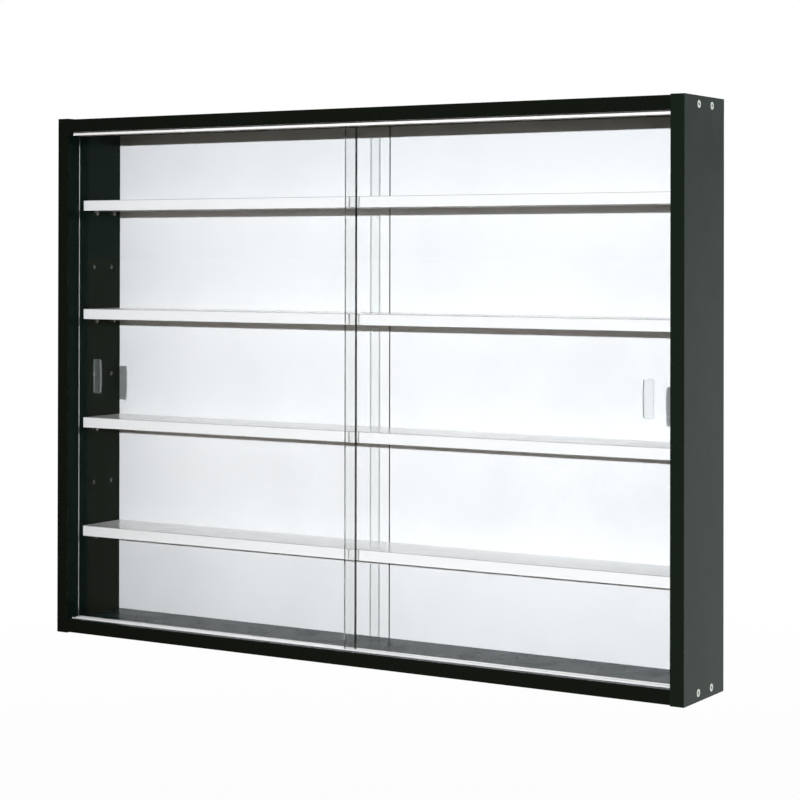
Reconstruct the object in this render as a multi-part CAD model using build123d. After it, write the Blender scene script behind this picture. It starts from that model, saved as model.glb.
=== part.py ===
from build123d import *
import os

# Wall-mounted display case with two sliding glass panes, in millimetres.
# X runs to the right, Y towards the wall and Z up. The origin is the centre of the rear
# face, which lies against the wall, so the front of the case is at negative Y.

# Whole case
overall_width = 800.0
panel_height = 602.0
panel_depth = 97.5
board = 15.0            # thickness of the side panels, top board and bottom board
board_inset = 1.0       # step from the ends of the side panels to the top and bottom boards
edge_band = 0.5         # plastic strip glued to every front edge

# Back panel
back_thickness = 2.5
back_margin = 1.0       # the back stops this far inside the outline of the side panels
fold_width = 0.8        # scored line at which the back folds for packing
fold_depth = 1.2
nail_diameter = 1.2
nail_length = 14.0
nail_head_diameter = 2.8
nail_head_thickness = 0.5
nails_per_side = 4
nails_per_board = 5
nail_end_margin = 90.0  # from a corner of the back to the nearest nail

# Shelves and the pins that carry them
shelf_thickness = 12.0
shelf_front_gap = 4.5   # from the rear of the tracks to the front of a shelf
shelf_back_gap = 0.3
shelf_end_gap = 0.5
pin_diameter = 5.0
pin_hole_depth = 8.5
pin_stand_out = 6.0     # length of a pin between the panel and its tip
pin_chamfer = 0.6
pin_row_first = 108.0   # lowest row of pin holes, above the foot of the side panel
pin_row_pitch = 64.0
pin_row_count = 7
pin_front = 49.0        # front pin holes, behind the front of the case
pin_spacing = 32.0      # from the front pin hole of a row to the rear one
shelf_rows = (6, 4, 2, 0)

# Glass panes
glass = 4.0
pane_overlap = 10.0     # of the closed panes at the middle of the case
pane_stop_gap = 0.3     # from a closed pane to the side panel
pane_cover = 5.0        # height of the pane's top edge above the mouth of the upper track
pane_arris = 0.4

# Plastic tracks
track_front = 9.0       # front of the tracks, behind the front of the case
track_wall = 1.0
track_base = 1.2
track_flange = 0.6      # each lip reaches this far over the edge of the groove
pane_side_play = 0.5    # between the glass and each wall of its channel
track_rib = 3.0         # between the two channels
upper_sink = 9.0        # depth of the upper track's body in its board
upper_lip = 3.5         # height of its lips below the board
lower_sink = 5.0
lower_lip = 0.8
lip_round = 0.35
mouth_chamfer = 0.25
bead_width = 1.4        # runner bead that the glass slides on
bead_height = 0.6
barb_height = 0.25      # saw teeth that hold the track in its groove
barb_length = 1.6
barb_first = 1.0        # from the floor of the groove to the first tooth
barb_pitch = 2.2
track_end_gap = 0.3

# Finger grips
grip_width = 12.5
grip_height = 40.0
grip_bow = 1.0          # the inner edge bulges this far at mid height
grip_corner = 2.5
grip_pass_gap = 1.0     # left between the grip and a pane that slides past it
grip_lip_width = 1.6
grip_rim = 1.5          # thickness at the outer edge
grip_rim_width = 0.8
grip_dish = 0.9         # thickness at the bottom of the dish
grip_dish_middle = 5.2  # from the outer edge to the bottom of the dish
grip_from_edge = 22.0   # from the pane's outer edge to the grip
tape_thickness = 0.2
tape_margin = 1.0

# Case screws, two at each corner
screw_diameter = 4.0
screw_head_diameter = 8.2
screw_length = 45.0
screw_tip = 4.0
screw_point_radius = 0.2
screw_head_sink = 0.2   # below the outer face of the panel
screw_front = 36.0      # front screw of each pair, behind the front of the case
screw_spacing = 32.0

# Keyhole hangers on the rear edges of the side panels
hanger_width = 12.0
hanger_length = 46.0
hanger_thickness = 1.5
hanger_corner = 2.0
hanger_top_gap = 15.0   # from the top of the side panel to the hanger
keyhole_entry_diameter = 8.5
keyhole_slot_width = 4.5
keyhole_travel = 12.0   # from the entry hole's centre up to the end of the slot
keyhole_entry_rise = 16.0  # from the hanger's lower end to the entry hole's centre
pocket_width = 9.5
pocket_depth = 7.5
hanger_screw_diameter = 2.6
hanger_screw_head_diameter = 5.4
hanger_screw_length = 12.0
hanger_screw_tip = 2.0
hanger_screw_inset = 5.0
notch_gap = 0.5         # from the hanger to the notch in the back panel

# Clearances
run_gap = 0.15          # under the glass and above a pin
fit_gap = 0.1           # around pins, nails, screws and barbs
hole_extra = 0.5        # a blind hole is this much deeper than what it takes

# Sizes that follow from the ones above
overall_depth = panel_depth + back_thickness
inner_width = overall_width - 2 * board
floor_height = board_inset + board
ceiling_height = panel_height - board_inset - board
channel = glass + 2 * pane_side_play
pane_pitch = channel + track_rib
track_body = pane_pitch + channel + 2 * track_wall
track_width = track_body + 2 * track_flange
track_middle = track_front + track_width / 2
groove_width = track_body + 2 * (barb_height + fit_gap)
pane_bottom = floor_height - lower_sink + track_base + bead_height + run_gap
pane_top = ceiling_height - upper_lip + pane_cover
pane_width = (inner_width + pane_overlap) / 2 - pane_stop_gap
front_pane_depth = track_middle - pane_pitch / 2
rear_pane_depth = track_middle + pane_pitch / 2
shelf_front = track_front + track_width + shelf_front_gap
shelf_depth = panel_depth - shelf_back_gap - shelf_front
grip_middle = (pane_bottom + pane_top) / 2
grip_lip = pane_pitch - glass - tape_thickness - grip_pass_gap  # thickness at the inner edge
hanger_foot = panel_height - hanger_top_gap - hanger_length
hanger_side = (overall_width - board) / 2


def from_front(depth):
    """Y of a point this far behind the front of the case."""
    return depth - overall_depth


def above_foot(height):
    """Z of a point this far above the foot of the side panels."""
    return height - panel_height / 2


def block(x_range, y_range, z_range):
    """Box between two values on each axis."""
    spans = (sorted(x_range), sorted(y_range), sorted(z_range))
    middle = [(low + high) / 2 for low, high in spans]
    return Pos(*middle) * Box(*[high - low for low, high in spans])


def rod(start, direction, radius, length):
    """Cylinder from a start point along a direction."""
    plane = Plane(origin=start, z_dir=direction)
    return plane * Cylinder(radius, length, align=(Align.CENTER, Align.CENTER, Align.MIN))


def taper(start, direction, start_radius, end_radius, length):
    """Cone from a start point along a direction."""
    plane = Plane(origin=start, z_dir=direction)
    cone = Cone(start_radius, end_radius, length, align=(Align.CENTER, Align.CENTER, Align.MIN))
    return plane * cone


def shifted(point, direction, distance):
    """The point moved along a unit direction."""
    return tuple(p + d * distance for p, d in zip(point, direction))


def evenly_spaced(low, high, count):
    """Evenly spaced values from low to high, both included."""
    return [low + (high - low) * i / (count - 1) for i in range(count)]


# Places of the fasteners and pins

def pin_row_height(row):
    return pin_row_first + row * pin_row_pitch


def pin_depths():
    return (pin_front, pin_front + pin_spacing)


def case_screw_places(side):
    """Start point and direction of each case screw of one side panel."""
    places = []
    for height in (board_inset + board / 2, panel_height - board_inset - board / 2):
        for depth in (screw_front, screw_front + screw_spacing):
            start = (side * overall_width / 2, from_front(depth), above_foot(height))
            places.append((start, (-side, 0, 0)))
    return places


def side_nail_places(side):
    """Nails through the back into one side panel, below the hanger."""
    low = back_margin + nail_end_margin
    high = hanger_foot - nail_end_margin / 2
    return [(side * hanger_side, 0, above_foot(h)) for h in evenly_spaced(low, high, nails_per_side)]


def board_nail_places(height):
    """Nails through the back into the top or bottom board."""
    reach = inner_width / 2 - nail_end_margin
    return [(x, 0, above_foot(height)) for x in evenly_spaced(-reach, reach, nails_per_board)]


def all_nail_places():
    bottom = board_nail_places(board_inset + board / 2)
    top = board_nail_places(panel_height - board_inset - board / 2)
    return side_nail_places(-1) + side_nail_places(1) + bottom + top


def hanger_screw_places(side):
    heights = (hanger_foot + hanger_screw_inset, hanger_foot + hanger_length - hanger_screw_inset)
    rear = from_front(panel_depth) + hanger_thickness
    return [(side * hanger_side, rear, above_foot(h)) for h in heights]


# Fasteners and the holes that take them

def countersunk_screw(start, direction, diameter, head_diameter, length, tip, sink=0.0):
    """Screw whose flat head lies at a depth of sink below the start point."""
    top = shifted(start, direction, sink)
    head_height = (head_diameter - diameter) / 2
    head = taper(top, direction, head_diameter / 2, diameter / 2, head_height)
    shank = rod(top, direction, diameter / 2, length - tip)
    point = taper(shifted(top, direction, length - tip), direction, diameter / 2, screw_point_radius, tip)
    return head + shank + point


def countersunk_hole(start, direction, diameter, head_diameter, depth, sink=0.0):
    """Clearance hole with a countersink that follows the head of its screw."""
    radius = diameter / 2 + fit_gap
    mouth = head_diameter / 2 + fit_gap + sink
    sink_cut = taper(start, direction, mouth, radius, mouth - radius)
    return sink_cut + rod(start, direction, radius, depth)


def nail(place):
    head = rod(place, (0, -1, 0), nail_head_diameter / 2, nail_head_thickness)
    shank = rod(place, (0, -1, 0), nail_diameter / 2, nail_length)
    return head + shank


def nail_hole(place):
    head = rod(place, (0, -1, 0), nail_head_diameter / 2 + fit_gap, nail_head_thickness + fit_gap)
    return head + rod(place, (0, -1, 0), nail_diameter / 2 + fit_gap, nail_length + hole_extra)


def case_screw_hole(place):
    start, direction = place
    depth = screw_head_sink + screw_length + hole_extra
    return countersunk_hole(start, direction, screw_diameter, screw_head_diameter, depth, screw_head_sink)


def hanger_screw_hole(place):
    depth = hanger_screw_length + hole_extra
    return countersunk_hole(place, (0, -1, 0), hanger_screw_diameter, hanger_screw_head_diameter, depth)


# Wooden panels

def pin_holes(side):
    """All the shelf pin holes of one side panel."""
    holes = []
    for row in range(pin_row_count):
        for depth in pin_depths():
            start = (side * inner_width / 2, from_front(depth), above_foot(pin_row_height(row)))
            holes.append(rod(start, (side, 0, 0), pin_diameter / 2 + fit_gap / 2, pin_hole_depth))
    return holes


def keyhole_pocket(side):
    """Milled pocket in the rear edge of a side panel, for the head of the wall screw."""
    entry = above_foot(hanger_foot + keyhole_entry_rise)
    origin = (side * hanger_side, from_front(panel_depth), entry + keyhole_travel / 2)
    plane = Plane(origin=origin, x_dir=(0, 0, 1), z_dir=(0, -1, 0))
    return extrude(plane * SlotCenterToCenter(keyhole_travel, pocket_width), pocket_depth)


def side_panel(side):
    """Side panel without its front edge band."""
    panel = block(
        (side * inner_width / 2, side * overall_width / 2),
        (from_front(edge_band), from_front(panel_depth)),
        (above_foot(0), above_foot(panel_height)),
    )
    cuts = pin_holes(side) + [keyhole_pocket(side)]
    cuts += [case_screw_hole(place) for place in case_screw_places(side)]
    cuts += [nail_hole(place) for place in side_nail_places(side)]
    cuts += [hanger_screw_hole(place) for place in hanger_screw_places(side)]
    return panel - cuts


def plain_board(low_height):
    return block(
        (-inner_width / 2, inner_width / 2),
        (from_front(edge_band), from_front(panel_depth)),
        (above_foot(low_height), above_foot(low_height + board)),
    )


def track_groove(surface_height, sink, direction):
    """Groove for a track, cut into the surface of a board."""
    y_range = [from_front(track_middle + s * groove_width / 2) for s in (-1, 1)]
    deep = surface_height - direction * (sink + fit_gap)
    z_range = (above_foot(surface_height), above_foot(deep))
    return block((-inner_width / 2, inner_width / 2), y_range, z_range)


def board_with_groove(low_height, surface_height, sink, direction):
    """Top or bottom board, grooved for its track and bored for its fasteners."""
    cuts = [track_groove(surface_height, sink, direction)]
    for side in (-1, 1):
        cuts += [case_screw_hole(place) for place in case_screw_places(side)]
    cuts += [nail_hole(place) for place in board_nail_places(low_height + board / 2)]
    return plain_board(low_height) - cuts


def top_board():
    return board_with_groove(ceiling_height, ceiling_height, upper_sink, -1)


def bottom_board():
    return board_with_groove(board_inset, floor_height, lower_sink, 1)


def side_band(side):
    return block(
        (side * inner_width / 2, side * overall_width / 2),
        (from_front(0), from_front(edge_band)),
        (above_foot(0), above_foot(panel_height)),
    )


def board_band(low_height):
    return block(
        (-inner_width / 2, inner_width / 2),
        (from_front(0), from_front(edge_band)),
        (above_foot(low_height), above_foot(low_height + board)),
    )


def back_panel():
    """Thin back, nailed on from behind, with a scored fold and a notch at each hanger."""
    half_width = overall_width / 2 - back_margin
    half_height = panel_height / 2 - back_margin
    rear = from_front(overall_depth)
    front = from_front(panel_depth)
    panel = block((-half_width, half_width), (front, rear), (-half_height, half_height))
    fold = block((-fold_width / 2, fold_width / 2), (front, front + fold_depth), (-half_height, half_height))
    notch_inner = hanger_side - hanger_width / 2 - notch_gap
    notch_z = (above_foot(hanger_foot - notch_gap), above_foot(hanger_foot + hanger_length + notch_gap))
    cuts = [fold] + [nail_hole(place) for place in all_nail_places()]
    for side in (-1, 1):
        cuts.append(block((side * notch_inner, side * overall_width / 2), (front, rear), notch_z))
    return panel - cuts


# Shelves

def shelf_underside(row):
    return pin_row_height(row) + pin_diameter / 2 + run_gap


def shelf_piece(row, depth_range):
    reach = inner_width / 2 - shelf_end_gap
    underside = above_foot(shelf_underside(row))
    y_range = [from_front(shelf_front + depth) for depth in depth_range]
    return block((-reach, reach), y_range, (underside, underside + shelf_thickness))


def shelf_board(row):
    return shelf_piece(row, (edge_band, shelf_depth))


def shelf_band(row):
    return shelf_piece(row, (0, edge_band))


def shelf_pin(side, depth, row):
    """Plain metal pin with chamfered ends, half of it in the side panel."""
    stem = pin_hole_depth - hole_extra
    start = (side * (inner_width / 2 + stem), from_front(depth), above_foot(pin_row_height(row)))
    pin = rod(start, (-side, 0, 0), pin_diameter / 2, stem + pin_stand_out)
    ends = pin.edges().filter_by(GeomType.CIRCLE)
    return chamfer(ends, pin_chamfer)


def shelf_pins(row):
    return [shelf_pin(side, depth, row) for side in (-1, 1) for depth in pin_depths()]


# Tracks

def barbs(sink):
    """Saw teeth on both outer walls of a track, with their flat side towards the room."""
    teeth = []
    low = barb_first - sink
    while low + barb_length < -barb_first / 2:
        high = low + barb_length
        for wall in (-1, 1):
            root = wall * track_body / 2
            tip = wall * (track_body / 2 + barb_height)
            teeth.append(make_face(Polyline((root, low), (tip, high), (root, high), close=True)))
        low += barb_pitch
    return teeth


def bead(centre, floor):
    """Low runner on the floor of a channel, with a rounded crown."""
    half = bead_width / 2
    shoulder = floor + bead_height / 2
    crown = ThreePointArc((centre - half, shoulder), (centre, floor + bead_height), (centre + half, shoulder))
    foot = Polyline(crown @ 1, (centre + half, floor), (centre - half, floor), crown @ 0)
    return make_face([crown, foot])


def track_profile(sink, lip, with_beads):
    """Section of a track: across the case, and out of the board from its surface at zero."""
    middle = (Align.CENTER, Align.MIN)
    body = Pos(0, -sink) * Rectangle(track_body, sink + lip, align=middle)
    profile = body + Rectangle(track_width, lip, align=middle)
    floor = track_base - sink
    centres = (-pane_pitch / 2, pane_pitch / 2)
    for centre in centres:
        profile -= Pos(centre, floor) * Rectangle(channel, lip - floor, align=middle)
    edge = profile.vertices().group_by(Axis.Y)[-1].sort_by(Axis.X)
    profile = fillet([edge[0], edge[-1]], lip_round)
    edge = profile.vertices().group_by(Axis.Y)[-1].sort_by(Axis.X)
    profile = chamfer(edge[1:-1], mouth_chamfer)
    if with_beads:
        for centre in centres:
            profile += bead(centre, floor)
    for tooth in barbs(sink):
        profile += tooth
    return profile


def track(surface_height, sink, lip, direction, with_beads=False):
    """Extruded double track let into a board; direction is the way its mouth opens."""
    length = inner_width - 2 * track_end_gap
    origin = (-length / 2, from_front(track_middle), above_foot(surface_height))
    plane = Plane(origin=origin, x_dir=(0, direction, 0), z_dir=(1, 0, 0))
    return extrude(plane * track_profile(sink, lip, with_beads), length)


def upper_track():
    return track(ceiling_height, upper_sink, upper_lip, -1)


def lower_track():
    return track(floor_height, lower_sink, lower_lip, 1, with_beads=True)


# Sliding panes with their grips

def pane_depth(side):
    """The left pane runs in the rear channel and the right one in the front channel."""
    return rear_pane_depth if side < 0 else front_pane_depth


def pane(side):
    outer = side * (inner_width / 2 - pane_stop_gap)
    depth = pane_depth(side)
    sheet = block(
        (outer, outer - side * pane_width),
        (from_front(depth - glass / 2), from_front(depth + glass / 2)),
        (above_foot(pane_bottom), above_foot(pane_top)),
    )
    return chamfer(sheet.edges(), pane_arris)


def grip_plane(side, stand_off):
    """Plane at a grip's outer edge: X towards the middle of the case, Y up, Z off the glass."""
    outer = side * (inner_width / 2 - pane_stop_gap - grip_from_edge)
    y = from_front(pane_depth(side) - glass / 2 - stand_off)
    return outer, y


def grip_outline(margin=0.0):
    """Rounded oblong whose inner edge is bowed; X grows from the outer edge inwards."""
    half = grip_height / 2 - margin
    inner = grip_width - margin
    bow = ThreePointArc((inner, -half), (inner + grip_bow, 0), (inner, half))
    rest = Polyline((inner, half), (margin, half), (margin, -half), (inner, -half))
    outline = make_face([bow, rest])
    return fillet(outline.vertices(), grip_corner - margin)


def grip_section():
    """Thickness of the grip from its outer rim over the dish to the raised inner lip."""
    reach = grip_width + grip_bow + hole_extra
    lip_start = grip_width - grip_lip_width
    rim_end = (grip_rim_width, grip_rim)
    dish = ThreePointArc(rim_end, (grip_dish_middle, grip_dish), (lip_start, grip_lip))
    lip = Polyline((lip_start, grip_lip), (reach, grip_lip), (reach, 0))
    rest = Polyline((reach, 0), (0, 0), (0, grip_rim), rim_end)
    return make_face([dish, lip, rest])


def facing_room(shape, side, stand_off):
    """Turns a shape drawn inwards, up and off the glass into its place on one pane."""
    outer, y = grip_plane(side, stand_off)
    upright = Rot(90, 0, 0) * shape
    if side > 0:
        upright = mirror(upright, about=Plane.YZ)
    return Pos(outer, y, above_foot(grip_middle)) * upright


def grip(side):
    """Clear finger grip, dished, with its raised lip towards the middle of the case."""
    body = extrude(grip_outline(), grip_lip)
    section = Plane(origin=(0, -grip_height / 2, 0), x_dir=(1, 0, 0), z_dir=(0, -1, 0)) * grip_section()
    body = body & extrude(section, -grip_height)
    return facing_room(body, side, tape_thickness)


def grip_tape(side):
    return facing_room(extrude(grip_outline(tape_margin), tape_thickness), side, 0)


# Hangers

def hanger(side):
    """Keyhole plate, flush with the panel's rear edge and below the wall plane."""
    centre = hanger_foot + hanger_length / 2
    rear = from_front(panel_depth)
    plane = Plane(origin=(side * hanger_side, rear, above_foot(centre)), x_dir=(0, 0, 1), z_dir=(0, 1, 0))
    entry = keyhole_entry_rise - hanger_length / 2
    sketch = RectangleRounded(hanger_length, hanger_width, hanger_corner)
    sketch -= Pos(entry, 0) * Circle(keyhole_entry_diameter / 2)
    sketch -= Pos(entry + keyhole_travel / 2, 0) * SlotCenterToCenter(keyhole_travel, keyhole_slot_width)
    plate = extrude(plane * sketch, hanger_thickness)
    return plate - [hanger_screw_hole(place) for place in hanger_screw_places(side)]


def case_screws(side):
    sizes = (screw_diameter, screw_head_diameter, screw_length, screw_tip, screw_head_sink)
    return [countersunk_screw(start, direction, *sizes) for start, direction in case_screw_places(side)]


def hanger_screws():
    places = hanger_screw_places(-1) + hanger_screw_places(1)
    sizes = (hanger_screw_diameter, hanger_screw_head_diameter, hanger_screw_length, hanger_screw_tip)
    return [countersunk_screw(place, (0, -1, 0), *sizes) for place in places]


def all_nodes():
    """Every sub-part by its name."""
    nodes = {
        "side_panel_left": side_panel(-1),
        "side_panel_right": side_panel(1),
        "top_board": top_board(),
        "bottom_board": bottom_board(),
        "side_band_left": side_band(-1),
        "side_band_right": side_band(1),
        "top_band": board_band(ceiling_height),
        "bottom_band": board_band(board_inset),
        "back_panel": back_panel(),
        "back_nails": [nail(place) for place in all_nail_places()],
        "upper_track": upper_track(),
        "lower_track": lower_track(),
        "case_screws_left": case_screws(-1),
        "case_screws_right": case_screws(1),
        "hanger_left": hanger(-1),
        "hanger_right": hanger(1),
        "hanger_screws": hanger_screws(),
        "shelf_bands": [shelf_band(row) for row in shelf_rows],
    }
    for number, row in enumerate(shelf_rows, start=1):
        nodes[f"shelf_{number}"] = shelf_board(row)
        nodes[f"shelf_pins_{number}"] = shelf_pins(row)
    for name, side in (("left", -1), ("right", 1)):
        nodes[f"pane_{name}"] = pane(side)
        nodes[f"grip_{name}"] = grip(side)
        nodes[f"grip_tape_{name}"] = grip_tape(side)
    return nodes


def write_steps():
    os.makedirs("parts", exist_ok=True)
    for name, shape in all_nodes().items():
        pieces = shape if isinstance(shape, list) else [shape]
        solids = [solid for piece in pieces for solid in piece.solids()]
        whole = solids[0] if len(solids) == 1 else Compound(solids)
        whole.label = name
        export_step(whole, f"parts/{name}.step")


write_steps()
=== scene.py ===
"""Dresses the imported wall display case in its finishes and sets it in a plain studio.

The row frame holds throughout: metres, X to the right, Y towards the wall, Z up, with the
origin at the centre of the case's rear face.
"""

import logging
import math
from dataclasses import dataclass, field, replace
from enum import Enum
from typing import Any, Callable

import bmesh
import bpy
from mathutils import Matrix, Vector


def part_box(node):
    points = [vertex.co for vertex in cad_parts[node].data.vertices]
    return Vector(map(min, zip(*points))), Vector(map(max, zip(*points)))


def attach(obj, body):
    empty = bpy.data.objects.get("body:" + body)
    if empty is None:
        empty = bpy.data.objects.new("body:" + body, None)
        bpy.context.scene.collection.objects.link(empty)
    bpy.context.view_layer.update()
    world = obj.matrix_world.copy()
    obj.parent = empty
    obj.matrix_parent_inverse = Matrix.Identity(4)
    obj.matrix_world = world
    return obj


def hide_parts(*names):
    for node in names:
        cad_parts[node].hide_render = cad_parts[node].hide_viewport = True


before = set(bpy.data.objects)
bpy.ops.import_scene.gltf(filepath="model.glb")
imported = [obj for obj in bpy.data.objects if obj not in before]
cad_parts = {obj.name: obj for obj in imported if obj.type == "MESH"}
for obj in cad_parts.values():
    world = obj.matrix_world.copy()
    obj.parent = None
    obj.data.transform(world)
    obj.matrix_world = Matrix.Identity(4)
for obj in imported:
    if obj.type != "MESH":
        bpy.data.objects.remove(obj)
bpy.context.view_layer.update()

log = logging.getLogger("display_case")

Triple = tuple[float, float, float]
Colour = Triple
Socket = bpy.types.NodeSocket
Box = tuple[Vector, Vector]

# A face looks along an axis when its normal's part along that axis is above this.
FLAT = 0.99
# Slack, in metres, where the centre of a face is compared with a plane.
SLACK = 1e-4
# Turned and moulded pieces are smooth up to this angle and crisp above it.
CRISP = math.radians(35.0)
# Nearly all of a noise lies between these values.
NOISE_RANGE = (0.3, 0.7)
BLACK: Colour = (0.0, 0.0, 0.0)
WHITE: Colour = (1.0, 1.0, 1.0)


class Side(Enum):
    """Left or right, as the front of the case is seen."""

    LEFT = -1
    RIGHT = 1

    @property
    def word(self) -> str:
        """The side's word in node names."""
        return self.name.lower()


# Shader nodes


class Bench:
    """Lays out and joins the shader nodes of one node tree."""

    def __init__(self, tree: bpy.types.NodeTree) -> None:
        """Takes over a node tree.

        Args:
            tree: the material's or world's nodes, emptied here.
        """
        self.tree = tree
        tree.nodes.clear()

    def add(self, kind: str, inputs: dict[Any, Any] | None = None, **settings: Any) -> bpy.types.Node:
        """Adds one node.

        Args:
            kind: the node's type without its ShaderNode prefix.
            inputs: a value, or another node's output, by socket name or number.
            settings: the node's own properties.

        Returns:
            The new node.
        """
        node = self.tree.nodes.new("ShaderNode" + kind)
        for name, value in settings.items():
            setattr(node, name, value)
        for key, value in (inputs or {}).items():
            socket = node.inputs[key]
            if isinstance(value, bpy.types.NodeSocket):
                self.tree.links.new(value, socket)
            elif socket.type == "RGBA" and len(value) == 3:
                socket.default_value = (*value, 1.0)
            else:
                socket.default_value = value
        return node

    def math(self, operation: str, *values: Any) -> Socket:
        """Returns the output of a Math node that works on values."""
        return self.add("Math", dict(enumerate(values)), operation=operation).outputs[0]

    def mix(self, share: Any, first: Any, second: Any) -> Socket:
        """Returns a colour that goes from first to second as share goes from 0 to 1."""
        return self.add("Mix", {0: share, 6: first, 7: second}, data_type="RGBA").outputs[2]

    def ease(self, value: Any, low: float, high: float, start: float = 0.0, end: float = 1.0) -> Socket:
        """Maps a value smoothly from one range to another.

        Args:
            value: the socket to map.
            low: the value at which the result is start.
            high: the value at which the result is end.
            start: the result at and below low.
            end: the result at and above high.

        Returns:
            The mapped value.
        """
        ends = {0: value, 1: low, 2: high, 3: start, 4: end}
        return self.add("MapRange", ends, interpolation_type="SMOOTHSTEP").outputs[0]

    def place(self, stretch: Triple = (1.0, 1.0, 1.0)) -> Socket:
        """Tells where on the piece a point is.

        Args:
            stretch: how much each axis is scaled.

        Returns:
            The piece's own coordinates in metres, scaled.
        """
        where = self.add("TexCoord").outputs["Object"]
        if stretch == (1.0, 1.0, 1.0):
            return where
        return self.add("Mapping", {"Vector": where, "Scale": stretch}).outputs[0]

    def noise(self, size: float, detail: float = 3.0, rough: float = 0.55,
              where: Socket | None = None) -> Socket:
        """Makes a soft noise.

        Args:
            size: about how large its spots are, in metres.
            detail: how many finer layers lie on the first one.
            rough: how strong the finer layers are.
            where: the coordinates that it follows, or those of the piece.

        Returns:
            The noise, from 0 to 1.
        """
        inputs = {"Vector": where or self.place(), "Scale": 1.0 / size, "Detail": detail, "Roughness": rough}
        return self.add("TexNoise", inputs).outputs[0]

    def cells(self, size: float, where: Socket | None = None, **settings: Any) -> bpy.types.Node:
        """Returns a Voronoi node whose cells are about size across, in metres."""
        return self.add("TexVoronoi", {"Vector": where or self.place(), "Scale": 1.0 / size}, **settings)

    def bump(self, height: Any, depth: float, strength: float = 1.0, over: Socket | None = None) -> Socket:
        """Returns a normal for relief.

        Args:
            height: the relief, from 0 to 1.
            depth: how deep it is, in metres.
            strength: how much of it shows.
            over: another relief that this one lies on.

        Returns:
            The bent normal.
        """
        inputs = {"Height": height, "Distance": depth, "Strength": strength}
        if over is not None:
            inputs["Normal"] = over
        return self.add("Bump", inputs).outputs[0]

    def coat(self, colour: Socket, roughness: Any, shine: float, normal: Socket) -> Socket:
        """Makes an opaque surface.

        Args:
            colour: its colour.
            roughness: its roughness.
            shine: how much it mirrors.
            normal: its relief.

        Returns:
            The shader.
        """
        inputs = {"Base Color": colour, "Roughness": roughness, "Specular IOR Level": shine, "Normal": normal}
        return self.add("BsdfPrincipled", inputs).outputs[0]

    def near_edge(self, box: Box, width: float) -> Socket:
        """Marks the edges of a box-shaped piece.

        Args:
            box: the piece's lowest and highest corners.
            width: how far from an edge the mark fades out.

        Returns:
            1 on the edges, 0 further than width from them.
        """
        part = self.add("SeparateXYZ", {0: self.place()}).outputs
        # On an edge two of the three gaps are nil, so the middle one is the distance from it.
        gaps = []
        for axis in range(3):
            below = self.math("SUBTRACT", part[axis], box[0][axis])
            above = self.math("SUBTRACT", box[1][axis], part[axis])
            gaps.append(self.math("MINIMUM", below, above))
        least = self.math("MINIMUM", self.math("MINIMUM", gaps[0], gaps[1]), gaps[2])
        most = self.math("MAXIMUM", self.math("MAXIMUM", gaps[0], gaps[1]), gaps[2])
        total = self.math("ADD", self.math("ADD", gaps[0], gaps[1]), gaps[2])
        middle = self.math("SUBTRACT", self.math("SUBTRACT", total, least), most)
        return self.ease(middle, 0.0, width, 1.0, 0.0)


# Finishes


@dataclass(frozen=True)
class Finish:
    """What every finish of the case has in common."""

    label: str

    def surface(self, bench: Bench, box: Box) -> Socket:
        """Lays the finish on a piece.

        Args:
            bench: the material's nodes.
            box: the lowest and highest corners of the piece.

        Returns:
            The shader.
        """
        raise NotImplementedError

    def on(self, piece: str, box: Box) -> bpy.types.Material:
        """Makes the material of one piece.

        Args:
            piece: the piece's name.
            box: its lowest and highest corners.

        Returns:
            The material.
        """
        material = bpy.data.materials.new(f"{self.label}_{piece}")
        material.use_nodes = True
        bench = Bench(material.node_tree)
        bench.add("OutputMaterial", {"Surface": self.surface(bench, box)})
        return material


@dataclass(frozen=True)
class Facing(Finish):
    """Melamine facing pressed on chipboard, satin, with a fine pearl grain and worn arrises."""

    colour: Colour = (0.8, 0.8, 0.8)
    handled: Colour = (0.8, 0.8, 0.8)
    worn: Colour = (0.5, 0.4, 0.3)
    roughness: float = 0.34
    uneven: tuple[float, float] = (-0.04, 0.05)
    shine: float = 0.5
    shine_tint: Colour = WHITE
    pearl_size: float = 0.0007
    pearl_depth: float = 0.00001
    cloud_size: float = 0.12
    smear_size: float = 0.035
    scuff_size: float = 0.006
    scuff_width: float = 0.0007
    wear: float = 0.5

    def surface(self, bench: Bench, box: Box) -> Socket:
        """Lays the facing: grain, faint cloudiness and scuffed edges."""
        cloud = bench.noise(self.cloud_size, 4.0)
        base = bench.mix(bench.ease(cloud, 0.35, 0.7), self.colour, self.handled)
        rubbed = bench.ease(bench.noise(self.scuff_size), 0.52, 0.66)
        scuff = bench.math("MULTIPLY", bench.near_edge(box, self.scuff_width), rubbed)
        base = bench.mix(bench.math("MULTIPLY", scuff, self.wear), base, self.worn)
        pearl = bench.noise(self.pearl_size, 2.0)
        smear = bench.noise(self.smear_size, 5.0, 0.6)
        rough, rougher = (self.roughness + change for change in self.uneven)
        gloss = bench.ease(smear, 0.3, 0.75, rough, rougher)
        shader = bench.add("BsdfPrincipled", {
            "Base Color": base,
            "Roughness": gloss,
            "Specular IOR Level": self.shine,
            "Specular Tint": self.shine_tint,
            "Normal": bench.bump(pearl, self.pearl_depth, 0.6),
        })
        return shader.outputs[0]


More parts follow.
